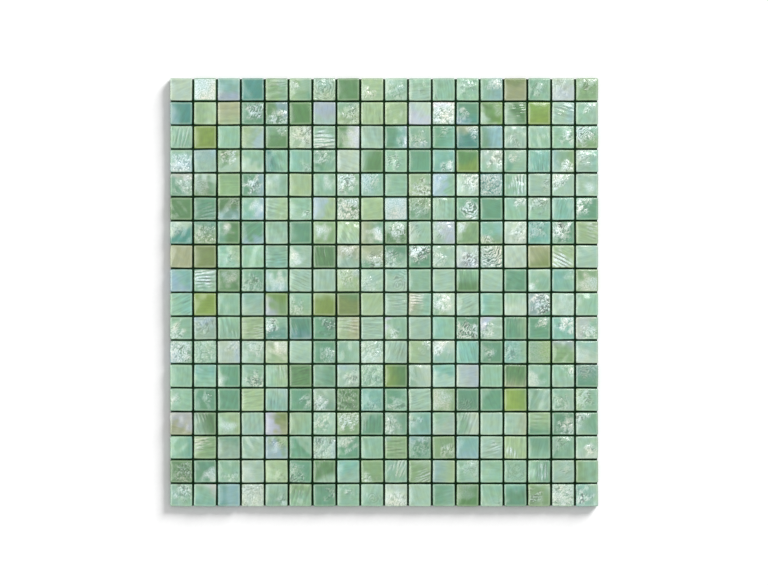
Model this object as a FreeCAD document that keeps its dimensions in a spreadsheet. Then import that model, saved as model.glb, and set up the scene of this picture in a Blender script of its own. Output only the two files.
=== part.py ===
# Glass mosaic sheet: a square grid of small pearl-glass tiles bonded to one thin dark mesh backing.
# The sheet lies flat with the tile faces up. X runs across the sheet, Y up it and Z out of the faces.
# The origin is the centre of the backing's underside. All sizes are in millimetres.
import FreeCAD, Part
import os
import Sketcher

PARTS_FOLDER = "parts"
ORIGIN_POINT = (-1, 1)
LINE_START, LINE_END = 1, 2
TOLERANCE = 1e-6
CORNERS = 4

# The driving dimensions. Pitch, sheet size and every position are worked out from these.
SIZES = [
    ("tile_side", 15.3),
    ("tile_height", 4.0),
    ("joint_width", 1.2),
    ("tiles_across", 18),
    ("tiles_down", 18),
    ("corner_nip", 0.5),
    ("arris_run", 0.6),
    ("arris_drop", 0.4),
    ("backing_height", 0.6),
    ("backing_inset", 0.5),
]

PITCH = "(Sizes.tile_side + Sizes.joint_width)"


def make_sheet_of_sizes(doc):
    """Writes each driving dimension to its own aliased cell."""
    sheet = doc.addObject("Spreadsheet::Sheet", "Sizes")
    for line, (name, value) in enumerate(SIZES, start=1):
        sheet.set(f"A{line}", name)
        sheet.set(f"B{line}", str(value))
        sheet.setAlias(f"B{line}", name)
    doc.recompute()
    return sheet


def new_body(doc, label):
    """An empty body whose label names its file."""
    body = doc.addObject("PartDesign::Body", label)
    body.Label = label
    return body


def origin_plane(body, role):
    """One of the body's own origin planes."""
    for feature in body.Origin.OriginFeatures:
        if feature.Role == role:
            return feature
    raise ValueError(f"{body.Label} has no {role}")


def closed_sketch(body, name, corners):
    """A sketch of a closed line on the body's XY plane. The corners are only where it starts, and its
    constraints give it its real size."""
    sketch = body.newObject("Sketcher::SketchObject", name)
    sketch.AttachmentSupport = [(origin_plane(body, "XY_Plane"), "")]
    sketch.MapMode = "FlatFace"
    points = [FreeCAD.Vector(x, y, 0) for x, y in corners]
    for start, end in zip(points, points[1:] + points[:1]):
        sketch.addGeometry(Part.LineSegment(start, end))
    for line in range(len(points)):
        following = (line + 1) % len(points)
        sketch.addConstraint(Sketcher.Constraint("Coincident", line, LINE_END, following, LINE_START))
    return sketch


def hold_distance(sketch, direction, first, second, name, size):
    """Holds the distance between two points of the sketch to size, an expression."""
    rough_size = 1.0
    index = sketch.addConstraint(Sketcher.Constraint(direction, *first, *second, rough_size))
    sketch.renameConstraint(index, name)
    sketch.setExpression(f"Constraints.{name}", size)


def centred_rectangle(body, name, width, length):
    """A sketch of a rectangle centred on its own origin. width and length are expressions."""
    sketch = closed_sketch(body, name, [(-1, -1), (1, -1), (1, 1), (-1, 1)])
    bottom, right, top, left = range(4)
    for line in (bottom, top):
        sketch.addConstraint(Sketcher.Constraint("Horizontal", line))
    for line in (right, left):
        sketch.addConstraint(Sketcher.Constraint("Vertical", line))
    sketch.addConstraint(Sketcher.Constraint("Symmetric", bottom, LINE_START, right, LINE_END, *ORIGIN_POINT))
    hold_distance(sketch, "DistanceX", (bottom, LINE_START), (bottom, LINE_END), "width", width)
    hold_distance(sketch, "DistanceY", (right, LINE_START), (right, LINE_END), "length", length)
    return sketch


def corner_triangle(body, name, side, nip):
    """A sketch of the triangle that is nipped off a square's upper right corner. side and nip are
    expressions."""
    sketch = closed_sketch(body, name, [(2, 2), (1, 2), (2, 1)])
    top, slant, right = range(3)
    sketch.addConstraint(Sketcher.Constraint("Horizontal", top))
    sketch.addConstraint(Sketcher.Constraint("Vertical", right))
    sketch.addConstraint(Sketcher.Constraint("Equal", top, right))
    hold_distance(sketch, "DistanceX", ORIGIN_POINT, (top, LINE_START), "across", f"{side} / 2")
    hold_distance(sketch, "DistanceY", ORIGIN_POINT, (top, LINE_START), "up", f"{side} / 2")
    hold_distance(sketch, "DistanceX", (top, LINE_END), (top, LINE_START), "nip", nip)
    return sketch


def pad(body, profile, name, height):
    """A sketch pushed up by height, an expression."""
    feature = body.newObject("PartDesign::Pad", name)
    feature.Profile = profile
    feature.setExpression("Length", height)
    return feature


def face_edges(feature):
    """The names of the edges round the feature's highest face."""
    top = max(vertex.Point.z for vertex in feature.Shape.Vertexes)
    found = []
    for number, edge in enumerate(feature.Shape.Edges, start=1):
        if all(abs(vertex.Point.z - top) < TOLERANCE for vertex in edge.Vertexes):
            found.append(f"Edge{number}")
    return found


def make_tile_row(doc, number):
    """One row of tiles. Each is a square of glass with a worn arris round its face and nipped corners."""
    body = new_body(doc, f"tile_row_{number:02d}")
    outline = centred_rectangle(body, f"TileOutline{number:02d}", "Sizes.tile_side", "Sizes.tile_side")
    corner = corner_triangle(body, f"TileCorner{number:02d}", "Sizes.tile_side", "Sizes.corner_nip")
    for sketch in (outline, corner):
        sketch.setExpression("AttachmentOffset.Base.x", f"-(Sizes.tiles_across - 1) / 2 * {PITCH}")
        sketch.setExpression("AttachmentOffset.Base.z", "Sizes.backing_height")
    block = pad(body, outline, f"TileBlock{number:02d}", "Sizes.tile_height")
    doc.recompute()

    arris = body.newObject("PartDesign::Chamfer", f"Arris{number:02d}")
    arris.Base = (block, face_edges(block))
    arris.ChamferType = "Two distances"
    arris.setExpression("Size", "Sizes.arris_drop")
    arris.setExpression("Size2", "Sizes.arris_run")

    nip = body.newObject("PartDesign::Pocket", f"CornerNip{number:02d}")
    nip.Profile = corner
    nip.Reversed = True
    nip.setExpression("Length", "Sizes.tile_height")
    nips = body.newObject("PartDesign::PolarPattern", f"CornerNips{number:02d}")
    nips.Originals = [nip]
    nips.Axis = (outline, ["N_Axis"])
    nips.Occurrences = CORNERS
    body.Tip = nips
    doc.recompute()

    row = body.newObject("PartDesign::LinearPattern", f"RowOfTiles{number:02d}")
    row.TransformMode = "Whole shape"
    row.Direction = (outline, ["H_Axis"])
    row.setExpression("Length", f"(Sizes.tiles_across - 1) * {PITCH}")
    row.setExpression("Occurrences", "Sizes.tiles_across")
    body.Tip = row
    body.setExpression("Placement.Base.y", f"((Sizes.tiles_down + 1) / 2 - {number}) * {PITCH}")
    return body


def make_backing(doc):
    """The thin mesh and adhesive sheet under all the tiles, cut a little inside their outer edges."""
    body = new_body(doc, "mesh_backing")
    width = f"Sizes.tiles_across * {PITCH} - Sizes.joint_width - 2 * Sizes.backing_inset"
    length = f"Sizes.tiles_down * {PITCH} - Sizes.joint_width - 2 * Sizes.backing_inset"
    outline = centred_rectangle(body, "BackingOutline", width, length)
    pad(body, outline, "BackingSheet", "Sizes.backing_height")
    return body


def check(doc, bodies):
    """Stops the build if any feature failed or any body isn't whole."""
    for item in doc.Objects:
        for word in ("Invalid", "Error"):
            if word in item.State:
                raise RuntimeError(f"{item.Label} is {word}")
    for body in bodies:
        if body.Shape.isNull() or not body.Shape.isValid():
            raise RuntimeError(f"{body.Label} has no valid shape")


def export(bodies):
    """Writes each body's shape to its own file, and prints what it holds."""
    os.makedirs(PARTS_FOLDER, exist_ok=True)
    for body in bodies:
        body.Shape.exportStep(os.path.join(PARTS_FOLDER, f"{body.Label}.step"))
        box = body.Shape.BoundBox
        size = " x ".join(f"{side:.2f}" for side in (box.XLength, box.YLength, box.ZLength))
        print(f"{body.Label}: {len(body.Shape.Solids)} solids, {size} mm, {body.Shape.Volume:.1f} mm3")


def main():
    doc = FreeCAD.newDocument("MosaicSheet")
    sheet = make_sheet_of_sizes(doc)
    bodies = [make_backing(doc)]
    for number in range(1, int(sheet.tiles_down) + 1):
        bodies.append(make_tile_row(doc, number))
    doc.recompute()
    check(doc, bodies)
    export(bodies)


main()
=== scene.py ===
"""Dresses a glass mosaic sheet: pressed pearl-glass tiles in rows on a dark woven backing.

X runs across the sheet, Y up it and Z out of the tile faces. Lengths are in metres, as in the frame,
and the relief of a tile is worked out in millimetres and scaled at the end.
"""
import math

import bpy
import numpy as np
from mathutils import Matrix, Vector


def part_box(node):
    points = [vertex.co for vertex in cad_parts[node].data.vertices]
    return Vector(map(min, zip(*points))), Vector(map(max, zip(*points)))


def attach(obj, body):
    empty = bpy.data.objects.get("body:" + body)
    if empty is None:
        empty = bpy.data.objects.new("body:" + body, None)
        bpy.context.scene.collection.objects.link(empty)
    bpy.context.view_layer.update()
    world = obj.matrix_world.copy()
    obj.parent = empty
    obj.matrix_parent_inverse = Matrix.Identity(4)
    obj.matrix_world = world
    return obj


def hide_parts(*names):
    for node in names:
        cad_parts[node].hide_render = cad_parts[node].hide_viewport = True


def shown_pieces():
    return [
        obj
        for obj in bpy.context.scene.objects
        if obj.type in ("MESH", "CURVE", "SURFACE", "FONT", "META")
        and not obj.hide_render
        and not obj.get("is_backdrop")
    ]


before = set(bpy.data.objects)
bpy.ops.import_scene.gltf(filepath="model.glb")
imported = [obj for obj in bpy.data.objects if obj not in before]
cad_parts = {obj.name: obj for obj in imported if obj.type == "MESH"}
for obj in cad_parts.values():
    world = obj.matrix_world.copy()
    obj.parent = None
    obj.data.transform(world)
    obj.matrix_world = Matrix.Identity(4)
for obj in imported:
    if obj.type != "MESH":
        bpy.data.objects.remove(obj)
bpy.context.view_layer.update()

bl_info = {
    "name": "Glass Mosaic Sheet",
    "version": (1, 0, 0),
    "blender": (4, 5, 0),
    "location": "View3D > Sidebar > Mosaic",
    "description": "Presses the glass tiles of a mosaic sheet, weaves its backing and lights it",
    "category": "Object",
}

MM = 0.001

# The photograph's frame, the pitch of its tiles and the middle of the sheet in it, in pixels.
PHOTO_WIDTH = 768
PHOTO_HEIGHT = 585
PITCH_PIXELS = 23.875
SHEET_CENTRE_PIXEL = (384.1, 292.3)

# The lamps: the left, right, near and far edge of each panel and its height, and the bearings of the suns,
# anticlockwise from X.
GLARE_PANEL = (0.17, 0.87, 0.33, 0.83, 1.2)
LEFT_PANEL = (-3.40, -0.80, -1.20, 2.20, 6.0)
TOP_PANEL = (-0.40, 0.40, 0.42, 0.80, 0.9)
SIDE_BEARING = math.radians(168.0)
KEY_BEARING = math.radians(49.0)

# The sheet's layout, read from the rows of the frame.
ROW_NODES = sorted(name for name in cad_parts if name.startswith("tile_row_"))
BACKING_NODE = "mesh_backing"
ROW_BOXES = [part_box(name) for name in ROW_NODES]
BACKING_LOW, BACKING_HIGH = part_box(BACKING_NODE)
ROW_CENTRES = [(low.y + high.y) / 2 for low, high in ROW_BOXES]
TILE_SIDE = ROW_BOXES[0][1].y - ROW_BOXES[0][0].y
TILE_PITCH = ROW_CENTRES[0] - ROW_CENTRES[1]
SHEET_WIDTH = ROW_BOXES[0][1].x - ROW_BOXES[0][0].x
TILES_ACROSS = round((SHEET_WIDTH + TILE_PITCH - TILE_SIDE) / TILE_PITCH)
TILE_TOP = ROW_BOXES[0][1].z
TILE_FOOT = ROW_BOXES[0][0].z

# The colours of glass in the mix, each with its share of the tiles where no accent stands.
GLASS_SHARES = {
    "mint": 0.25, "sea_green": 0.185, "celadon": 0.16, "sage": 0.105, "pale_sage": 0.09, "leaf": 0.055,
    "aqua": 0.07, "teal": 0.035, "pearl": 0.04, "sand": 0.01,
}
# The colour that runs into a tile's own colour is drawn from these.
SECOND_SHARES = {
    "mint": 0.25, "celadon": 0.20, "aqua": 0.12, "sky": 0.04, "pale_sage": 0.15, "sea_green": 0.13,
    "lilac": 0.02, "sand": 0.05, "teal": 0.04,
}
# Tiles that catch the eye: (row from the top, tile from the left, first colour, second colour).
ACCENTS = (
    (1, 3, "lilac", "aqua"), (1, 4, "teal", "teal"), (1, 8, "leaf", "leaf"), (2, 1, "teal", "sky"),
    (1, 15, "khaki", "sand"), (2, 2, "pale_sage", "sage"), (2, 3, "sand", "pale_sage"),
    (2, 6, "moss", "moss"), (2, 7, "lilac", "celadon"), (2, 11, "pearl", "lilac"), (2, 14, "lime", "leaf"),
    (2, 16, "olive", "lime"), (3, 2, "olive", "olive"), (3, 14, "sky", "leaf"), (4, 2, "sky", "mint"),
    (4, 13, "moss", "olive"), (6, 1, "leaf", "leaf"), (8, 1, "sand", "sand"), (8, 2, "khaki", "khaki"),
    (8, 16, "khaki", "sand"), (9, 1, "sky", "aqua"), (10, 2, "olive", "olive"), (10, 5, "lime", "sage"),
    (10, 7, "olive", "pale_sage"), (10, 8, "khaki", "leaf"), (12, 16, "lime", "sea_green"),
    (13, 10, "moss", "olive"), (14, 15, "olive", "leaf"), (15, 5, "khaki", "sand"), (16, 13, "sky", "aqua"),
    (18, 3, "sky", "teal"), (18, 13, "moss", "moss"),
)
# The colours of the metal-oxide film where it lies thick: blue, lilac, rose and pale green.
SHEENS = ((0.322, 0.467, 0.613), (0.459, 0.493, 0.647), (0.579, 0.510, 0.544), (0.450, 0.613, 0.493))
SHEEN_SHARES = (0.36, 0.14, 0.06, 0.44)

# What a tile's face can be like, with each kind's share of the tiles, the least and the greatest height of
# its pattern in millimetres, its least share of silvering, whose white is painted glints, where less than 0
# is none, and the strength of its drawn lines.
SMOOTH, STREAKED, CRINKLED, RIPPLED = range(4)
FINISH_SHARES = (0.32, 0.17, 0.45, 0.06)
PATTERN_HEIGHTS = ((0.0, 0.0), (0.06, 0.20), (0.18, 0.50), (0.06, 0.14))
LEAST_SILVER = (-1.8, -0.6, 0.25, 0.1)
LINE_STRENGTHS = (0.55, 1.1, 0.55, 0.55)

# The sides of a tile, in the order in which its border runs, and how much of the painted joint shade an
# outer side gets against one that stands in a joint.
BOTTOM, RIGHT, TOP, LEFT = range(4)
OPEN_SIDE_SHADE = 0.25

# The form of a tile: how tightly its corners are rounded, where round the arris its rings lie, in degrees,
# and where the pale band at the edge begins over the face and how wide it is, as shares of half the face.
# That band is partly paler thin glass and partly a painted highlight.
CORNER_POWER = 14
ARRIS_TURNS = (30.0, 60.0, 90.0)
RIM_START, RIM_WIDTH = 0.88, 0.12

# The form of a face, in millimetres: the heights of its crown and how squarely that falls to the edges, the
# spread of its slope, the least of its slow swell and how much more it may be, and its deepest seat.
CROWN_HEIGHTS = (0.10, 0.34)
CROWN_POWER = 3.2
SLOPE_SPREAD = 0.010
LEAST_SWELL, MORE_SWELL = 0.008, 0.12
SWELL_WAVES = (6.0, 13.0)
DEEPEST_SEAT = 0.08

# The worked patch of a face, in millimetres: the share of the tiles that are worked all over, and on the
# others the patch's radius, where its middle lies, its softness and how far its outline is bent.
ALL_WORKED_SHARE = 0.07
PATCH_RADII = (2.4, 8.4)
PATCH_MIDDLES = (-6.0, 6.0)
PATCH_SOFTNESS = 7.0
PATCH_BEND, PATCH_WAVES = 1.3, (5.0, 9.0)

# The pattern of a face, with the shortest and longest waves of its parts in millimetres: how far the folds
# are bent, the share of foil that has thin crests, and the middles and spacings of ripples.
HEADING_SPREAD = 0.25
FOLD_BEND, FOLD_BEND_WAVES = 0.5, (3.0, 6.0)
STREAK_WAVES = (1.4, 3.0)
FOLD_WAVES, FINE_FOLD_WAVES = (2.2, 4.4), (1.4, 2.6)
THIN_CREST_SHARE = 0.4
RIPPLE_MIDDLES, RIPPLE_SPACINGS = (-7.0, 7.0), (1.5, 2.1)

# The silvering, whose white is painted glints and painted reflection over a pale film: how seldom it is
# strong, an accent's share of it, where on the pattern it begins and over what height it grows, and what the
# troughs and the smooth faces get of it.
SILVER_POWER = 1.7
ACCENT_SILVER = 0.25
CREST_GLINT_START, CREST_GLINT_WIDTH = 0.30, 0.40
TROUGH_SILVER, SMOOTH_SILVER = 0.06, 0.9
# How much of it there is at the sheet's left, more at its right and less in the lowest rows, a painted
# glare that follows how the light falls, and where those begin and how soon they are reached, as shares of
# the rows.
LEFT_PAINTED_GLARE, MORE_PAINTED_GLARE_RIGHT, LESS_PAINTED_GLARE_LOW = 0.98, 0.25, 0.32
LOW_START, LOW_WIDTH = 0.6, 0.15

# How the glass varies: its mean and spread of paleness, the share of the tiles with a second colour and how
# strong that is at most, the depths of streaks and clouds, and how dark the painted shade in the troughs is,
# more so under strong silvering.
PALENESS, PALENESS_SPREAD = 0.015, 0.07
TWO_COLOUR_SHARE, SECOND_STRENGTH = 0.55, 0.75
RUN_SPREAD = 0.2
STREAK_DEPTHS, MORE_STREAK_DEPTH = (0.01, 0.04), 0.04
CLOUD_DEPTHS = (0.01, 0.05)
TROUGH_WIDTH, TROUGH_PAINTED_SHADE, GLINT_TROUGH_PAINTED_SHADE = 0.45, 0.30, 0.45
# The least and the greatest strength of the metal film's own colour, where less than 0 is none.
SHEEN_STRENGTHS = (-1.6, 0.72)

# How the tiles are laid: the turns and starts of the bow of a side and the spread of a tile's turn, in
# radians, and how far apart the maps of two tiles may lie, in millimetres.
BOW_TURNS, BOW_STARTS = (2.0, 7.0), (0.0, 6.0)
LAID_TURN_SPREAD = math.radians(0.35)
MAP_SPREAD = 40.0

# The net's threads: the share of a thread's width that is flat, and how far it dives under a neighbour, as a
# share of its height.
THREAD_FLAT, THREAD_DIVE = 0.55, 0.25

# Colours of the finish: the glass's casts, the silvering's painted glints at their coolest and warmest, the
# rim with its painted highlight, and the painted shade in the joints.
WARM_CAST, COOL_CAST = (1.01, 1.0, 0.89, 1.0), (0.95, 1.0, 1.07, 1.0)
COOL_GLINT_COLOUR, WARM_GLINT_COLOUR = (0.76, 0.92, 0.95, 1.0), (0.94, 0.91, 0.79, 1.0)
RIM_AND_HIGHLIGHT_COLOUR, RIM_AND_HIGHLIGHT_STRENGTH = (0.80, 0.90, 0.66, 1.0), 0.20
JOINT_SHADE_COLOUR, JOINT_SHADE_STRENGTH = (0.004, 0.052, 0.004, 1.0), 0.62
FILMED_GLASS_IOR = 1.9
BUMP_STRENGTH = 0.55


# Settings

def colour_property(name, colour, description):
    """A colour, such as that of one glass of the mix."""
    return bpy.props.FloatVectorProperty(
        name=name, description=description, default=colour, size=3, min=0.0, max=1.0, subtype="COLOR")


def length_property(name, size, description, least=0.0):
    """A length of at least the given least."""
    return bpy.props.FloatProperty(
        name=name, description=description, default=size, min=least, unit="LENGTH")


def level_property(name, level, description):
    """A brightness, where 1 is white."""
    return bpy.props.FloatProperty(name=name, description=description, default=level, min=0.0)


def angle_property(name, degrees, description):
    """An angle up to a right angle, written in degrees and kept in radians."""
    return bpy.props.FloatProperty(
        name=name, description=description, default=math.radians(degrees), min=math.radians(1.0),
        max=math.radians(90.0), subtype="ANGLE")


class MosaicGlassColours(bpy.types.PropertyGroup):
    """The glass colours of the mix, as the body of the glass shows them."""

    mint: colour_property("Mint", (0.197, 0.393, 0.258), "Commonest glass, a milky green")
    sea_green: colour_property("Sea Green", (0.074, 0.250, 0.136), "Deeper blue-green glass")
    celadon: colour_property("Celadon", (0.265, 0.430, 0.316), "Pale grey-green glass")
    sage: colour_property("Sage", (0.155, 0.298, 0.128), "Yellowish green glass")
    pale_sage: colour_property("Pale Sage", (0.264, 0.408, 0.212), "Pale yellowish green glass")
    leaf: colour_property("Leaf", (0.060, 0.195, 0.056), "Strong green glass")
    moss: colour_property("Moss", (0.046, 0.180, 0.036), "Dark green glass")
    aqua: colour_property("Aqua", (0.151, 0.385, 0.299), "Pale blue-green glass")
    teal: colour_property("Teal", (0.033, 0.224, 0.175), "Dark blue-green glass")
    pearl: colour_property("Pearl", (0.366, 0.492, 0.382), "Nearly white glass")
    sand: colour_property("Sand", (0.288, 0.329, 0.179), "Warm grey-yellow glass")
    sky: colour_property("Sky", (0.180, 0.355, 0.355), "Pale blue glass")
    lilac: colour_property("Lilac", (0.285, 0.370, 0.420), "Blue-violet glass")
    olive: colour_property("Olive", (0.152, 0.262, 0.022), "Yellow-green accent glass")
    lime: colour_property("Lime", (0.120, 0.272, 0.030), "Bright green accent glass")
    khaki: colour_property("Khaki", (0.125, 0.198, 0.040), "Brownish green accent glass")


class MosaicTileSizes(bpy.types.PropertyGroup):
    """The form of one pressed tile."""

    face_cells: bpy.props.IntProperty(
        name="Face Cells", description="Grid cells along a side of a tile's face", default=24, min=6, max=40)
    seed: bpy.props.IntProperty(
        name="Seed", description="Chooses another mix of the same glass", default=188, min=0)
    arris_run: length_property("Arris Run", 0.7 * MM, "Width of the worn edge round a face", 0.1 * MM)
    arris_drop: length_property("Arris Drop", 0.45 * MM, "Height of the worn edge round a face")
    corner_pull: length_property("Corner Pull", 0.15 * MM, "How far a corner of the outline is rounded in")
    foot_edge: length_property("Foot Edge", 0.15 * MM, "Size of the blunt edge round a tile's foot")
    play_across: length_property(
        "Play Across", 0.10 * MM, "How far a tile may stand from its place across the sheet")
    play_down: length_property(
        "Play Down", 0.07 * MM, "How far a tile may stand from its place down the sheet")
    squeeze: length_property(
        "Squeeze", 0.12 * MM, "How much narrower the level joints are than the upright ones")
    bow: length_property("Bow", 0.05 * MM, "How far the sides of a tile wander from straight")


class MosaicBackingSizes(bpy.types.PropertyGroup):
    """The woven net under the tiles."""

    thread_pitch: length_property("Thread Pitch", 4.9 * MM, "Distance between threads of the net", MM)
    thread_width: length_property("Thread Width", 0.9 * MM, "Width of a thread of the net", 0.2 * MM)
    film_rise: length_property("Film Rise", 0.28 * MM, "How far the film lies above the threads' underside")
    thread_colour: colour_property("Thread Colour", (0.055, 0.066, 0.060), "Colour of the net's threads")
    film_colour: colour_property("Film Colour", (0.010, 0.034, 0.012), "Colour of the adhesive film")


class MosaicStageSizes(bpy.types.PropertyGroup):
    """The camera, the floor and the lamps."""

    lens: bpy.props.FloatProperty(
        name="Lens", description="Focal length in millimetres", default=500.0, min=20.0, unit="CAMERA")
    floor_side: length_property("Floor Side", 8.0, "Side of the square floor", 1.0)
    sky_level: level_property("Sky Level", 0.61, "Strength of the even light from all sides")
    glare_level: level_property("Glare Level", 6.5, "Brightness of the panel that the folds mirror")
    left_level: level_property("Left Level", 1.7, "Brightness of the panel that the faces' left sides mirror")
    top_level: level_property("Top Level", 0.5, "Brightness of the panel that the faces' far sides mirror")
    side_level: level_property("Side Level", 0.15, "Light that the side lamp adds to the sheet")
    side_elevation: angle_property("Side Elevation", 36.0, "Height of the side lamp over the floor")
    side_softness: angle_property("Side Softness", 22.0, "Width of the side lamp as the sheet sees it")
    key_level: level_property("Key Level", 0.625, "Light that the low key adds to the floor")
    key_elevation: angle_property("Key Elevation", 17.2, "Height of the low key over the floor")
    key_softness: angle_property("Key Softness", 26.0, "Width of the low key as the floor sees it")


# Surfaces on grids

def square_grid(cells):
    """The points of an even grid over the square from -1 to 1, one row of x after another."""
    steps = np.linspace(-1.0, 1.0, cells + 1)
    x, y = np.meshgrid(steps, steps)
    return x.ravel(), y.ravel()


def square_border(cells):
    """Numbers of the grid points on the square's border, anticlockwise from the lower left corner."""
    side = cells + 1
    run = np.arange(cells)
    return np.concatenate([run, cells + side * run, side * side - 1 - run, side * (cells - run)])


def grid_quads(cells):
    """The four point numbers of each cell, anticlockwise from above."""
    side = cells + 1
    corner = (np.arange(cells)[:, None] * side + np.arange(cells)).ravel()
    return np.stack([corner, corner + 1, corner + side + 1, corner + side], 1)


def band_quads(upper, lower):
    """Quads between two closed rings of point numbers, facing outwards where lower is outside or below."""
    return np.stack([upper, lower, np.roll(lower, -1), np.roll(upper, -1)], 1)


def cap_triangles(ring, centre):
    """Triangles from a ring's points to a centre point, facing down."""
    return np.stack([np.full_like(ring, centre), np.roll(ring, -1), ring], 1)


def smooth_step(value):
    """Zero below 0, one above 1, with level ends: t * t * (3 - 2 * t)."""
    t = np.clip(value, 0.0, 1.0)
    return t * t * (3.0 - 2.0 * t)


def random_waves(rng, x, y, lengths, count=12, heading=0.0, fan=math.pi):
    """One random surface for each row of x and y, with a spread of about 1: the sum of count sine waves
    with random lengths, phases and headings. heading is a number or one for each row, and fan is how far a
    wave turns from it to either side."""
    shape = (len(x), count)
    turn = np.reshape(heading, (-1, 1)) + rng.uniform(-fan, fan, shape)
    length = rng.uniform(*lengths, shape)
    phase = rng.uniform(0.0, 2.0 * math.pi, shape)
    along = np.cos(turn)[..., None] * x[:, None] + np.sin(turn)[..., None] * y[:, None]
    waves = np.sin(2.0 * math.pi * along / length[..., None] + phase[..., None])
    return waves.sum(1) / math.sqrt(count / 2.0)


def make_object(name, points, quads, triangles=None):
    """A smooth mesh object from arrays of points and faces, linked to the scene."""
    mesh = bpy.data.meshes.new(name)
    faces = quads.tolist()
    if triangles is not None:
        faces += triangles.tolist()
    mesh.from_pydata(points.tolist(), [], faces)
    mesh.shade_smooth()
    mesh.update()
    piece = bpy.data.objects.new(name, mesh)
    bpy.context.scene.collection.objects.link(piece)
    return piece


def write_values(piece, name, values):
    """One number for each point, for the material to read."""
    layer = piece.data.attributes.new(name, "FLOAT", "POINT")
    layer.data.foreach_set("value", np.ascontiguousarray(values, np.float32).ravel())


def write_colours(piece, name, colours):
    """One colour for each point, for the material to read."""
    layer = piece.data.color_attributes.new(name, "FLOAT_COLOR", "POINT")
    solid = np.concatenate([colours, np.ones(colours.shape[:-1] + (1,))], -1)
    layer.data.foreach_set("color", np.ascontiguousarray(solid, np.float32).ravel())


def write_map(piece, name, along, across):
    """A UV map from two numbers for each point."""
    layer = piece.data.uv_layers.new(name=name)
    corners = np.zeros(len(piece.data.loops), np.int32)
    piece.data.loops.foreach_get("vertex_index", corners)
    pairs = np.stack([along.ravel()[corners], across.ravel()[corners]], 1)
    layer.data.foreach_set("uv", np.ascontiguousarray(pairs, np.float32).ravel())


def stand_for(piece, node, material):
    """Gives a piece its material and puts it in the place of its CAD node."""
    piece.data.materials.append(material)
    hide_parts(node)
    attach(piece, "root")


# Tiles

class TileLayout:
    """The points and faces of one tile: a square grid for the face, rings over the arris and down the sides,
    and one point in the middle of the foot. For each point it holds which face point it goes with, how far
    it lies in from the side and under the face, whether it follows the relief, and on which side it lies."""

    def __init__(self, sizes):
        cells = sizes.face_cells
        self.unit_x, self.unit_y = square_grid(cells)
        face = np.arange(len(self.unit_x))
        border = square_border(cells)
        sides = np.repeat([BOTTOM, RIGHT, TOP, LEFT], cells)
        middle = np.array([len(face) // 2])
        levels = [(face, -1, sizes.arris_run, 0.0, 1.0)]
        for inset, drop, follows in outline_rings(sizes):
            levels.append((border, sides, inset, drop, follows))
        levels.append((middle, -1, 0.0, TILE_TOP - TILE_FOOT, 0.0))
        self.face_point = np.concatenate([points for points, *_ in levels])
        self.side, self.inset, self.drop, self.follows = (
            np.concatenate([np.broadcast_to(level[field], len(level[0])) for level in levels])
            for field in range(1, 5))

        lower_rings = len(face) + np.arange((len(levels) - 2) * len(border)).reshape(-1, len(border))
        rings = [border, *lower_rings]
        self.quads = np.concatenate(
            [grid_quads(cells)] + [band_quads(upper, lower) for upper, lower in zip(rings, rings[1:])])
        self.triangles = cap_triangles(rings[-1], len(self.face_point) - 1)

    def outline(self, sizes):
        """Where each point lies in a tile, with its corners rounded in and room left for its play."""
        x, y = self.unit_x[self.face_point], self.unit_y[self.face_point]
        reach = TILE_SIDE / 2 - self.inset - sizes.corner_pull * np.abs(x * y) ** CORNER_POWER
        return x * (reach - sizes.play_across / 2), y * (reach - sizes.play_down / 2 + sizes.squeeze / 2)

    def rim(self, sizes):
        """How much each point belongs to the pale edge band, partly paler thin glass and partly a painted
        highlight where the edge catches light: most at the face's edge, and less both over the face and down
        the arris."""
        edge = np.maximum(np.abs(self.unit_x), np.abs(self.unit_y))[self.face_point]
        face_share = smooth_step((edge - RIM_START) / RIM_WIDTH)
        return np.where(self.side < 0, face_share, self.inset / sizes.arris_run) * self.follows


def outline_rings(sizes):
    """The rings from a face's edge down to the tile's foot, each as (distance in from the tile's side,
    distance under the face, share of the relief that it follows). The arris is a quarter of an ellipse."""
    rings = []
    for turn in ARRIS_TURNS:
        angle = math.radians(turn)
        rings.append((
            sizes.arris_run * (1.0 - math.sin(angle)), sizes.arris_drop * (1.0 - math.cos(angle)), 1.0))
    thickness = TILE_TOP - TILE_FOOT
    rings.append((0.0, thickness - sizes.foot_edge, 0.0))
    rings.append((sizes.foot_edge, thickness, 0.0))
    return rings


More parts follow.
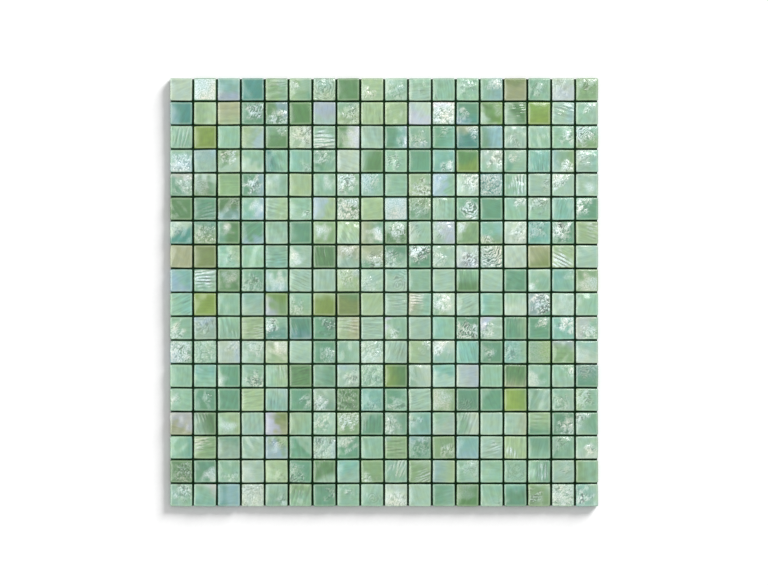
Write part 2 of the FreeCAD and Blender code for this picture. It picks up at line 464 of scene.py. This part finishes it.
class TileRow:
    """The random draws and surfaces of one row of tiles. x and y are in millimetres from a tile's middle.
    For each tile, kind is what its face is like, strength how thickly it is silvered with painted glints, and
    heading the way in which it was drawn. For each point, worked is how far it was worked, and textured is
    the same but nothing on smooth faces."""

    def __init__(self, number, sizes, colours):
        self.number = number
        self.sizes = sizes
        self.colours = colours
        self.tiles = TILES_ACROSS
        self.rng = np.random.default_rng([sizes.seed, number])
        self.face_half = (TILE_SIDE / 2 - sizes.arris_run) / MM
        unit_x, unit_y = square_grid(sizes.face_cells)
        self.x = np.tile(unit_x * self.face_half, (self.tiles, 1))
        self.y = np.tile(unit_y * self.face_half, (self.tiles, 1))
        self.kind = self.rng.choice(len(FINISH_SHARES), (self.tiles, 1), p=FINISH_SHARES)
        self.accents = {tile - 1: pair for row, tile, *pair in ACCENTS if row == number}
        self.kind[list(self.accents)] = SMOOTH
        least = np.array(LEAST_SILVER)[self.kind]
        strength = least + (1.0 - least) * self.draw(0.0, 1.0) ** SILVER_POWER
        # Painted glare: the silvering grows towards the right and fades in the lowest rows.
        self.strength = np.clip(strength * self.painted_glare_by_place(), 0.0, 1.0)
        self.strength[list(self.accents)] *= ACCENT_SILVER
        upright = self.draw(0.0, 1.0) < 0.5
        self.heading = np.where(upright, 0.0, math.pi / 2) + self.spread(HEADING_SPREAD)
        all_over = self.draw(0.0, 1.0) < ALL_WORKED_SHARE
        self.worked = np.where(all_over, 1.0, self.patch())
        self.textured = self.worked * (self.kind != SMOOTH)
        self.pattern = self.drawn_pattern()

    def draw(self, low, high):
        """One even random number for each tile, as a column."""
        return self.rng.uniform(low, high, (self.tiles, 1))

    def spread(self, size):
        """One random number for each tile, as a column, bell-shaped about 0 with the given spread."""
        return self.rng.normal(0.0, size, (self.tiles, 1))

    def waves(self, lengths, **how):
        """A random surface for each tile over its own face."""
        return random_waves(self.rng, self.x, self.y, lengths, **how)

    def painted_glare_by_place(self):
        """How strongly each tile is silvered for its place in the sheet: more towards the right, and less in
        the lowest rows, as in the photograph. This is painted glare, strongest where the light falls."""
        right = smooth_step(np.arange(self.tiles)[:, None] / (self.tiles - 1))
        low = smooth_step((self.number / len(ROW_NODES) - LOW_START) / LOW_WIDTH)
        return LEFT_PAINTED_GLARE + MORE_PAINTED_GLARE_RIGHT * right - LESS_PAINTED_GLARE_LOW * low

    def patch(self):
        """A soft round patch somewhere on each tile: it falls from one to zero across its radius, which is
        bent by slow waves."""
        radius = self.draw(*PATCH_RADII)
        away = np.hypot(self.x - self.draw(*PATCH_MIDDLES), self.y - self.draw(*PATCH_MIDDLES))
        away = away + PATCH_BEND * self.waves(PATCH_WAVES, count=5)
        return smooth_step((radius + PATCH_SOFTNESS / 2 - away) / PATCH_SOFTNESS)

    def drawn_pattern(self):
        """The fine pattern of each face, from about 0 in its troughs to 1 on its crests: long waves on
        streaked tiles, folds as in foil on crinkled ones, where waves are taken without their sign, with
        either thin crests or thin troughs, and rings round a centre on rippled ones."""
        bent_x = self.x + FOLD_BEND * self.waves(FOLD_BEND_WAVES, count=6)
        bent_y = self.y + FOLD_BEND * self.waves(FOLD_BEND_WAVES, count=6)
        streaks = 0.5 + 0.3 * self.waves(STREAK_WAVES, heading=self.heading, fan=0.16)
        folds = np.abs(random_waves(
            self.rng, bent_x, bent_y, FOLD_WAVES, count=8, heading=self.heading, fan=0.65))
        fine_folds = np.abs(random_waves(
            self.rng, bent_x, bent_y, FINE_FOLD_WAVES, count=10, heading=self.heading, fan=0.9))
        thin_crests = 1.1 - 0.50 * folds - 0.35 * fine_folds
        thin_troughs = 0.45 * folds + 0.32 * fine_folds
        foil = np.where(self.draw(0.0, 1.0) < THIN_CREST_SHARE, thin_crests, thin_troughs)
        ring = np.hypot(bent_x - self.draw(*RIPPLE_MIDDLES), bent_y - self.draw(*RIPPLE_MIDDLES))
        ripples = 0.5 + 0.5 * np.sin(2.0 * math.pi * ring / self.draw(*RIPPLE_SPACINGS))
        return np.select(
            [self.kind == STREAKED, self.kind == CRINKLED, self.kind == RIPPLED],
            [streaks, foil, ripples], 0.0)

    def relief(self):
        """Height of each face in millimetres: a low crown that falls to the edges, a slight slope, a slow
        swell, and the face's pattern where it is worked. No face rises above 0."""
        across = np.abs(self.x / self.face_half) ** CROWN_POWER
        down = np.abs(self.y / self.face_half) ** CROWN_POWER
        crown = self.draw(*CROWN_HEIGHTS) * (1.0 - across) * (1.0 - down)
        slope_x, slope_y = self.rng.normal(0.0, SLOPE_SPREAD, (2, self.tiles, 1))
        swell = (LEAST_SWELL + MORE_SWELL * self.draw(0.0, 1.0) ** 3) * self.waves(SWELL_WAVES, count=5)
        least, greatest = np.array(PATTERN_HEIGHTS)[self.kind[:, 0]].T[..., None]
        pattern = (least + (greatest - least) * self.draw(0.0, 1.0)) * self.pattern * self.textured
        height = crown + slope_x * self.x + slope_y * self.y + swell + pattern
        return height - height.max(1, keepdims=True) - self.draw(0.0, DEEPEST_SEAT)

    def silver(self):
        """How thick the white silvering lies on each face: the tile's strength of it over the worked patch,
        thickest on the pattern's crests. Its white is painted glints and painted reflection over a pale film."""
        crests = smooth_step((self.pattern - CREST_GLINT_START) / CREST_GLINT_WIDTH)
        crests = np.where(self.kind == SMOOTH, SMOOTH_SILVER, crests)
        return self.strength * self.worked * (TROUGH_SILVER + (1.0 - TROUGH_SILVER) * crests)

    def glasses(self, shares):
        """The names of a glass for each tile, drawn by their shares."""
        weights = np.array(list(shares.values()))
        return self.rng.choice(list(shares), self.tiles, p=weights / weights.sum())

    def depths_of(self, names):
        """The colour of each tile's glass, some a little deeper and some a little paler."""
        chosen = np.array([getattr(self.colours, name)[:] for name in names])
        paleness = self.rng.normal(PALENESS, PALENESS_SPREAD, (self.tiles, 1))
        return (chosen * np.exp(paleness))[:, None, :]

    def front(self, turn, bend, lengths, places, widths):
        """A share that rises from zero to one over each face in the direction turn. places and widths are
        the ranges in which the middle of the rise and its width are drawn, and its line is bent by waves."""
        along = np.cos(turn) * self.x + np.sin(turn) * self.y + bend * self.waves(lengths, count=5)
        return smooth_step((along - self.draw(*places)) / self.draw(*widths) + 0.5)

    def tint(self):
        """Colour of each face: the tile's own glass, another glass run into it along one direction, thin
        streaks of light and dark, painted shade darkening the troughs, and a side where the metal film shows
        its own colour."""
        first = self.glasses(GLASS_SHARES)
        two_colours = self.rng.random(self.tiles) < TWO_COLOUR_SHARE
        second = np.where(two_colours, self.glasses(SECOND_SHARES), first)
        for tile, pair in self.accents.items():
            first[tile], second[tile] = pair
        own, other = self.depths_of(first), self.depths_of(second)
        turn = self.rng.integers(0, 4, (self.tiles, 1)) * math.pi / 2 + self.spread(RUN_SPREAD)
        run = self.front(turn, bend=0.7, lengths=(6.0, 12.0), places=(-4.0, 5.0), widths=(6.0, 16.0))
        colour = own + (other - own) * run[..., None] * SECOND_STRENGTH

        streaks = self.waves((1.5, 5.0), heading=self.heading, fan=0.12)
        clouds = self.waves((3.0, 9.0), count=8)
        streak_depth = self.draw(*STREAK_DEPTHS) + np.where(self.kind == STREAKED, MORE_STREAK_DEPTH, 0.0)
        # Painted shade: the pattern's troughs are darkened, more so where the silvering is strong.
        troughs = self.textured * (1.0 - smooth_step(self.pattern / TROUGH_WIDTH))
        troughs = troughs * (TROUGH_PAINTED_SHADE + GLINT_TROUGH_PAINTED_SHADE * self.strength)
        depth = 1.0 + streak_depth * streaks + self.draw(*CLOUD_DEPTHS) * clouds - troughs
        colour = colour * depth[..., None]

        turn = self.draw(0.0, 2.0 * math.pi)
        film = self.front(turn, bend=1.2, lengths=(5.0, 9.0), places=(-2.0, 7.0), widths=(4.0, 10.0))
        film = film * np.maximum(self.draw(*SHEEN_STRENGTHS), 0.0)
        sheen = np.array(SHEENS)[self.rng.choice(len(SHEENS), self.tiles, p=SHEEN_SHARES)][:, None, :]
        return np.clip(colour + (sheen - colour) * film[..., None], 0.0, 1.0)

    def depth(self, layout):
        """How deep each point lies in a joint, from 0 at the face to 1 at the foot, which sets the painted
        shade and the matt finish down the tile's sides. The sheet's outer sides face open air, so they count
        as less deep and get less of it."""
        outer = np.zeros((self.tiles, len(layout.side)), bool)
        if self.number == 1:
            outer |= layout.side == TOP
        if self.number == len(ROW_NODES):
            outer |= layout.side == BOTTOM
        outer[0] |= layout.side == LEFT
        outer[-1] |= layout.side == RIGHT
        return layout.drop / (TILE_TOP - TILE_FOOT) * np.where(outer, OPEN_SIDE_SHADE, 1.0)

    def laid(self, x, y):
        """Where the tiles' points lie in the sheet, with each tile a little out of true as it was laid: its
        sides bowed along a piece of a sine wave, and the whole tile turned and moved."""
        bow = self.sizes.bow
        bent_x = x + bow * np.sin(y / TILE_SIDE * self.draw(*BOW_TURNS) + self.draw(*BOW_STARTS))
        bent_y = y + bow * np.sin(x / TILE_SIDE * self.draw(*BOW_TURNS) + self.draw(*BOW_STARTS))
        turn = self.spread(LAID_TURN_SPREAD)
        middle = (np.arange(self.tiles) - (self.tiles - 1) / 2)[:, None] * TILE_PITCH
        laid_x = bent_x * np.cos(turn) - bent_y * np.sin(turn) + self.sizes.play_across * self.draw(-0.5, 0.5)
        laid_y = bent_x * np.sin(turn) + bent_y * np.cos(turn) + self.sizes.play_down * self.draw(-0.5, 0.5)
        return laid_x + middle, laid_y + ROW_CENTRES[self.number - 1]


def build_row(number, node, sizes, colours, layout, material):
    """One row of pressed tiles as a single mesh. A point's height is the top of the tiles less its distance
    under the face, plus the relief where it follows it."""
    row = TileRow(number, sizes, colours)
    relief, tint, silver = row.relief() * MM, row.tint(), row.silver()
    x, y = layout.outline(sizes)
    laid_x, laid_y = row.laid(x, y)
    z = TILE_TOP - layout.drop + relief[:, layout.face_point] * layout.follows

    starts = (np.arange(row.tiles) * len(x))[:, None, None]
    piece = make_object(
        f"glass_tiles_{number:02d}", np.stack([laid_x, laid_y, z], -1).reshape(-1, 3),
        (layout.quads + starts).reshape(-1, 4), (layout.triangles + starts).reshape(-1, 3))
    write_colours(piece, "glass_tint", tint[:, layout.face_point].reshape(-1, 3))
    # Painted glints: the silvering's white, on the faces only.
    write_values(piece, "silver", silver[:, layout.face_point] * (layout.side < 0))
    write_values(piece, "gloss", row.textured[:, layout.face_point])
    write_values(piece, "grain", np.broadcast_to(np.array(LINE_STRENGTHS)[row.kind], z.shape))
    # Paler thin glass and a painted highlight along the edge of each face.
    write_values(piece, "rim", np.tile(layout.rim(sizes), (row.tiles, 1)))
    # Painted shade: how far each point lies down a joint, where shade falls on the tile's side.
    write_values(piece, "depth", row.depth(layout))
    along = (y * np.cos(row.heading) - x * np.sin(row.heading)) / MM + row.draw(0.0, MAP_SPREAD)
    across = (x * np.cos(row.heading) + y * np.sin(row.heading)) / MM + row.draw(0.0, MAP_SPREAD)
    write_map(piece, "draw_lines", along, across)
    stand_for(piece, node, material)


# Materials

def new_material(name):
    """A new material, its node tree and its shader."""
    material = bpy.data.materials.new(name)
    material.use_nodes = True
    return material, material.node_tree, material.node_tree.nodes["Principled BSDF"]


def add_node(tree, kind, inputs=None, **settings):
    """A node with its settings and the plain values of its inputs."""
    node = tree.nodes.new(kind)
    for key, value in settings.items():
        setattr(node, key, value)
    for key, value in (inputs or {}).items():
        node.inputs[key].default_value = value
    return node


def feed(tree, socket, value):
    """Links a socket to another node's output, or sets it to a plain value."""
    if isinstance(value, bpy.types.NodeSocket):
        tree.links.new(value, socket)
    else:
        socket.default_value = value


def math_node(tree, operation, first, second):
    """The result of an operation on two sockets or numbers."""
    node = add_node(tree, "ShaderNodeMath", operation=operation)
    feed(tree, node.inputs[0], first)
    feed(tree, node.inputs[1], second)
    return node.outputs[0]


def mixed_colour(tree, share, first, second):
    """One colour run into another by a share between 0 and 1. A mix node has sockets for each kind of value,
    and those for colours are its inputs 6 and 7 and its output 2."""
    node = add_node(tree, "ShaderNodeMix", data_type="RGBA", clamp_factor=True)
    feed(tree, node.inputs[0], share)
    feed(tree, node.inputs[6], first)
    feed(tree, node.inputs[7], second)
    return node.outputs[2]


def scaled_colour(tree, colour, value):
    """A colour made lighter or darker by a value."""
    node = add_node(tree, "ShaderNodeVectorMath", operation="SCALE")
    tree.links.new(colour, node.inputs[0])
    tree.links.new(value, node.inputs["Scale"])
    return node.outputs[0]


def multiplied_colour(tree, first, second):
    """Two colours multiplied channel by channel."""
    node = add_node(tree, "ShaderNodeVectorMath", operation="MULTIPLY")
    tree.links.new(first, node.inputs[0])
    tree.links.new(second, node.inputs[1])
    return node.outputs[0]


def attribute(tree, name, output="Fac"):
    """What the mesh holds under that name."""
    return add_node(tree, "ShaderNodeAttribute", attribute_name=name).outputs[output]


def noise(tree, vector, scale, detail=3.0, distortion=0.0):
    """A noise texture's value on the given coordinates."""
    node = add_node(tree, "ShaderNodeTexNoise", {"Scale": scale, "Detail": detail, "Distortion": distortion})
    tree.links.new(vector, node.inputs["Vector"])
    return node.outputs["Fac"]


def remap(tree, value, low, high, to_low=0.0, to_high=1.0):
    """A value carried from one range to another, held at the ends."""
    node = add_node(tree, "ShaderNodeMapRange", {
        "From Min": low, "From Max": high, "To Min": to_low, "To Max": to_high})
    tree.links.new(value, node.inputs["Value"])
    return node.outputs["Result"]


def stretched(tree, vector, scale):
    """Coordinates scaled by a vector, to draw a pattern out."""
    node = add_node(tree, "ShaderNodeMapping", {"Scale": scale})
    tree.links.new(vector, node.inputs["Vector"])
    return node.outputs["Vector"]


def add_bump(tree, height, distance, shader):
    """Relief too fine for the mesh, fed to the shader's normals."""
    bump = add_node(tree, "ShaderNodeBump", {"Strength": BUMP_STRENGTH, "Distance": distance})
    tree.links.new(height, bump.inputs["Height"])
    tree.links.new(bump.outputs["Normal"], shader.inputs["Normal"])


def pearl_glass_material():
    """Milky glass under a thin metal film: the tile's own tint with drawn lines and a slow drift of hue, a
    silvering whose white film and flecks are painted glints and reflection, a paler edge band that is partly
    a painted highlight, and sides darkened into the joints with painted shade."""
    material, tree, shader = new_material("pearl glass")
    drawn = add_node(tree, "ShaderNodeUVMap", uv_map="draw_lines").outputs["UV"]
    silver = attribute(tree, "silver")
    grain = attribute(tree, "grain")
    depth = attribute(tree, "depth")
    lines = noise(tree, stretched(tree, drawn, (0.16, 1.0, 1.0)), 1.0, detail=4.0)
    cloud = noise(tree, stretched(tree, drawn, (0.12, 0.3, 1.0)), 1.0, detail=2.0)
    crumple = noise(tree, stretched(tree, drawn, (0.80, 1.15, 1.0)), 1.05, detail=2.5, distortion=1.0)
    drift = noise(tree, stretched(tree, drawn, (0.22, 0.16, 1.0)), 1.0, detail=2.0)

    ruled = math_node(tree, "MULTIPLY", remap(tree, lines, 0.30, 0.72, -0.12, 0.12), grain)
    light = math_node(tree, "ADD", ruled, remap(tree, cloud, 0.3, 0.7, 0.93, 1.07))
    colour = scaled_colour(tree, attribute(tree, "glass_tint", "Color"), light)
    cast = mixed_colour(tree, remap(tree, drift, 0.33, 0.67), WARM_CAST, COOL_CAST)
    colour = multiplied_colour(tree, colour, cast)
    warmth = noise(tree, stretched(tree, drawn, (0.06, 0.06, 1.0)), 1.0, detail=1.0)
    # Painted glints and painted reflection: the silvering's white, cool or warm, whitens the crests.
    painted_glint_colour = mixed_colour(tree, remap(tree, warmth, 0.36, 0.64), COOL_GLINT_COLOUR, WARM_GLINT_COLOUR)
    painted_glint_share = math_node(tree, "MULTIPLY", silver, remap(tree, crumple, 0.36, 0.64, 0.42, 1.10))
    colour = mixed_colour(tree, painted_glint_share, colour, painted_glint_colour)
    # The edge band: paler thin glass and partly a painted highlight where the edge catches light.
    rim = math_node(tree, "MULTIPLY", attribute(tree, "rim"), RIM_AND_HIGHLIGHT_STRENGTH)
    colour = mixed_colour(tree, rim, colour, RIM_AND_HIGHLIGHT_COLOUR)
    # Painted shade: the sides darken towards the foot of each joint.
    dark = remap(tree, depth, 0.20, 1.0, 0.0, JOINT_SHADE_STRENGTH)
    colour = mixed_colour(tree, dark, colour, JOINT_SHADE_COLOUR)
    tree.links.new(colour, shader.inputs["Base Color"])

    satin = remap(tree, attribute(tree, "gloss"), 0.0, 0.6, 0.18, 0.15)
    rough = math_node(tree, "ADD", satin, remap(tree, depth, 0.1, 0.4, 0.0, 0.30))
    tree.links.new(rough, shader.inputs["Roughness"])
    creases = math_node(tree, "MULTIPLY", crumple, math_node(tree, "MULTIPLY", silver, 1.6))
    ruling = math_node(tree, "MULTIPLY", lines, math_node(tree, "MULTIPLY", grain, 0.4))
    add_bump(tree, math_node(tree, "ADD", ruling, creases), 0.10 * MM, shader)
    shader.inputs["IOR"].default_value = FILMED_GLASS_IOR
    return material


def lightened(colour, factor):
    """A solid colour for a node's socket, from a colour made lighter or darker by a factor."""
    return (*[value * factor for value in colour], 1.0)


def backing_material(sizes):
    """Dark woven glass-fibre threads set in a darker adhesive film, with fibres along each thread."""
    material, tree, shader = new_material("net and film")
    thread = attribute(tree, "thread")
    place = add_node(tree, "ShaderNodeTexCoord").outputs["Object"]
    fibres = noise(tree, place, 2600.0)
    smears = noise(tree, place, 45.0)
    film = mixed_colour(
        tree, remap(tree, smears, 0.35, 0.7), lightened(sizes.film_colour, 1.0),
        lightened(sizes.film_colour, 1.9))
    yarn = mixed_colour(
        tree, remap(tree, fibres, 0.35, 0.65), lightened(sizes.thread_colour, 0.7),
        lightened(sizes.thread_colour, 1.35))
    tree.links.new(mixed_colour(tree, thread, film, yarn), shader.inputs["Base Color"])
    smeared = remap(tree, smears, 0.3, 0.7, 0.5, 0.65)
    rough = math_node(tree, "ADD", smeared, math_node(tree, "MULTIPLY", thread, 0.2))
    tree.links.new(rough, shader.inputs["Roughness"])
    add_bump(tree, fibres, 0.08 * MM, shader)
    shader.inputs["Specular IOR Level"].default_value = 0.15
    return material


def floor_material():
    """A pale matt floor with a faint grain."""
    material, tree, shader = new_material("pale floor")
    place = add_node(tree, "ShaderNodeTexCoord").outputs["Object"]
    grain = noise(tree, place, 400.0, detail=2.0)
    colour = mixed_colour(tree, grain, (0.86, 0.86, 0.86, 1.0), (0.90, 0.90, 0.90, 1.0))
    tree.links.new(colour, shader.inputs["Base Color"])
    shader.inputs["Roughness"].default_value = 1.0
    shader.inputs["Specular IOR Level"].default_value = 0.0
    return material


# Backing

def build_backing(sizes, material):
    """The backing as one closed plate. Its underside is a net of square-set threads: the height over the
    plate is the lower of two sets of flat arches, with each thread passing over and under its neighbours,
    and film between them. Grid lines stand only where a thread begins, crests and ends."""
    low, high = BACKING_LOW, BACKING_HIGH
    threads = int((high.x - low.x) / sizes.thread_pitch)
    centres = (np.arange(threads) - (threads - 1) / 2) * sizes.thread_pitch
    half_width = sizes.thread_width / 2
    offsets = np.array([-1.0, -THREAD_FLAT, THREAD_FLAT, 1.0]) * half_width
    inner = (centres[:, None] + offsets).ravel()
    lines_x = np.concatenate([[low.x], inner, [high.x]])
    lines_y = np.concatenate([[low.y], inner, [high.y]])
    x, y = np.meshgrid(lines_x, lines_y)

    def arch(distance):
        """One on the flat of a thread, falling to zero at its side."""
        return smooth_step((1.0 - np.abs(distance) / half_width) / (1.0 - THREAD_FLAT))

    def nearest(value):
        """Distance to the nearest thread's middle, and that thread's number."""
        number = np.clip(np.round(value / sizes.thread_pitch + (threads - 1) / 2), 0, threads - 1).astype(int)
        return value - centres[number], number

    off_x, number_x = nearest(x)
    off_y, number_y = nearest(y)
    upright, level = arch(off_x), arch(off_y)
    over = np.where((number_x + number_y) % 2 == 0, 1.0, -1.0)
    upright = upright * (1.0 - THREAD_DIVE * (over < 0) * level)
    level = level * (1.0 - THREAD_DIVE * (over > 0) * upright)
    thread = np.maximum(upright, level)
    z = low.z + sizes.film_rise * (1.0 - thread)
    z[0, :] = z[-1, :] = low.z + sizes.film_rise
    z[:, 0] = z[:, -1] = low.z + sizes.film_rise

    count = len(lines_x)
    under = np.stack([x.ravel(), y.ravel(), z.ravel()], 1)
    quads = grid_quads(count - 1)[:, ::-1]
    border = square_border(count - 1)
    top = under[border].copy()
    top[:, 2] = high.z
    middle = np.array([[0.0, 0.0, high.z]])
    upper = len(under) + np.arange(len(border))
    quads = np.concatenate([quads, band_quads(upper, border)])
    triangles = cap_triangles(upper, len(under) + len(border))[:, ::-1]
    piece = make_object("woven_backing", np.concatenate([under, top, middle]), quads, triangles)
    write_values(piece, "thread", np.concatenate([thread.ravel(), np.zeros(len(border) + 1)]))
    stand_for(piece, BACKING_NODE, material)


# Stage

def ceiling_panel(name, edges, level, lit):
    """A soft panel hung level over the sheet. edges holds its left, right, near and far edge and its
    height, level is the brightness of its face, where 1 is white, and lit the collection that it lights."""
    left, right, near, far, height = edges
    lamp = bpy.data.lights.new(name, "AREA")
    lamp.shape = "RECTANGLE"
    lamp.size, lamp.size_y = right - left, far - near
    lamp.energy = level * math.pi * lamp.size * lamp.size_y
    panel = bpy.data.objects.new(name, lamp)
    panel.location = ((left + right) / 2, (near + far) / 2, height)
    panel.visible_camera = False
    panel.light_linking.receiver_collection = lit
    bpy.context.scene.collection.objects.link(panel)


def soft_sun(name, bearing, elevation, softness, level, lit):
    """A distant round lamp. bearing is anticlockwise from X, elevation its height over the floor and
    softness its width, all as angles. level is the light that it adds to a level surface, where 1 is the
    light of a white sky, and lit the collection that it lights."""
    lamp = bpy.data.lights.new(name, "SUN")
    lamp.energy = level * math.pi / math.sin(elevation)
    lamp.angle = softness
    sun = bpy.data.objects.new(name, lamp)
    sun.rotation_euler = (0.0, math.pi / 2 - elevation, bearing)
    sun.light_linking.receiver_collection = lit
    bpy.context.scene.collection.objects.link(sun)


def lit_collection(name, pieces):
    """The objects that a lamp lights. It isn't in the scene, because it only lists them."""
    lit = bpy.data.collections.new(name)
    for piece in pieces:
        lit.objects.link(piece)
    return lit


def build_floor(side):
    """A square floor under the sheet."""
    half = side / 2
    corners = np.array([[-half, -half, 0.0], [half, -half, 0.0], [half, half, 0.0], [-half, half, 0.0]])
    floor = make_object("floor", corners, np.array([[0, 1, 2, 3]]))
    floor.data.materials.append(floor_material())
    floor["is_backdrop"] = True
    return floor


def white_sky(level):
    """Even light from all sides, which looks plain white to the camera and in reflections."""
    world = bpy.data.worlds.new("studio")
    world.use_nodes = True
    tree = world.node_tree
    background = tree.nodes["Background"]
    background.inputs["Color"].default_value = (1.0, 1.0, 1.0, 1.0)
    path = add_node(tree, "ShaderNodeLightPath")
    seen = math_node(tree, "MAXIMUM", path.outputs["Is Camera Ray"], path.outputs["Is Glossy Ray"])
    seen = math_node(tree, "MAXIMUM", seen, path.outputs["Is Transmission Ray"])
    tree.links.new(remap(tree, seen, 0.0, 1.0, level, 1.0), background.inputs["Strength"])
    return world


def photo_camera(lens):
    """A camera straight above, so far off that a tile's pitch spans as many pixels as in the photograph."""
    data = bpy.data.cameras.new("camera")
    data.lens = lens
    camera = bpy.data.objects.new("camera", data)
    pixel = TILE_PITCH / PITCH_PIXELS
    camera.location = (
        (PHOTO_WIDTH / 2 - SHEET_CENTRE_PIXEL[0]) * pixel,
        (SHEET_CENTRE_PIXEL[1] - PHOTO_HEIGHT / 2) * pixel,
        TILE_TOP + PHOTO_WIDTH * pixel * lens / data.sensor_width)
    bpy.context.scene.collection.objects.link(camera)
    return camera


# Operators and panel

class MOSAIC_OT_press_tiles(bpy.types.Operator):
    """Press the rows of pearl-glass tiles, each tile with its own tint and relief"""

    bl_idname = "mosaic.press_tiles"
    bl_label = "Press Tiles"

    def execute(self, context):
        scene = context.scene
        material = pearl_glass_material()
        layout = TileLayout(scene.mosaic_tile)
        for number, node in enumerate(ROW_NODES, 1):
            build_row(number, node, scene.mosaic_tile, scene.mosaic_glass, layout, material)
        return {"FINISHED"}


class MOSAIC_OT_weave_backing(bpy.types.Operator):
    """Weave the net under the tiles and set it in its film"""

    bl_idname = "mosaic.weave_backing"
    bl_label = "Weave Backing"

    def execute(self, context):
        sizes = context.scene.mosaic_backing
        build_backing(sizes, backing_material(sizes))
        return {"FINISHED"}


class MOSAIC_OT_set_stage(bpy.types.Operator):
    """Set the floor, the soft lamps, the sky and the camera over the sheet"""

    bl_idname = "mosaic.set_stage"
    bl_label = "Set Stage"

    def execute(self, context):
        scene, sizes = context.scene, context.scene.mosaic_stage
        floor = build_floor(sizes.floor_side)
        sheet = lit_collection("sheet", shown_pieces())
        ground = lit_collection("ground", [floor])
        ceiling_panel("glare panel", GLARE_PANEL, sizes.glare_level, sheet)
        ceiling_panel("left panel", LEFT_PANEL, sizes.left_level, sheet)
        ceiling_panel("top panel", TOP_PANEL, sizes.top_level, sheet)
        soft_sun(
            "side lamp", SIDE_BEARING, sizes.side_elevation, sizes.side_softness, sizes.side_level, sheet)
        soft_sun("low key", KEY_BEARING, sizes.key_elevation, sizes.key_softness, sizes.key_level, ground)
        scene.world = white_sky(sizes.sky_level)
        scene.camera = photo_camera(sizes.lens)
        scene.view_settings.view_transform = "Standard"
        return {"FINISHED"}


class MOSAIC_PT_sheet(bpy.types.Panel):
    """Lists the steps that make the sheet"""

    bl_idname = "MOSAIC_PT_sheet"
    bl_label = "Mosaic Sheet"
    bl_space_type = "VIEW_3D"
    bl_region_type = "UI"
    bl_category = "Mosaic"

    def draw(self, context):
        for group in GROUPS:
            settings = getattr(context.scene, group)
            box = self.layout.box()
            for name in settings.__annotations__:
                box.prop(settings, name)
        for operator in OPERATORS:
            self.layout.operator(operator.bl_idname)


GROUPS = {
    "mosaic_tile": MosaicTileSizes,
    "mosaic_glass": MosaicGlassColours,
    "mosaic_backing": MosaicBackingSizes,
    "mosaic_stage": MosaicStageSizes,
}
OPERATORS = (MOSAIC_OT_press_tiles, MOSAIC_OT_weave_backing, MOSAIC_OT_set_stage)


def register():
    for name, group in GROUPS.items():
        bpy.utils.register_class(group)
        setattr(bpy.types.Scene, name, bpy.props.PointerProperty(type=group))
    for kind in (*OPERATORS, MOSAIC_PT_sheet):
        bpy.utils.register_class(kind)


def unregister():
    for kind in (MOSAIC_PT_sheet, *reversed(OPERATORS)):
        bpy.utils.unregister_class(kind)
    for name, group in reversed(GROUPS.items()):
        delattr(bpy.types.Scene, name)
        bpy.utils.unregister_class(group)


def main():
    register()
    bpy.ops.mosaic.press_tiles()
    bpy.ops.mosaic.weave_backing()
    bpy.ops.mosaic.set_stage()


if __name__ == "__main__":
    main()
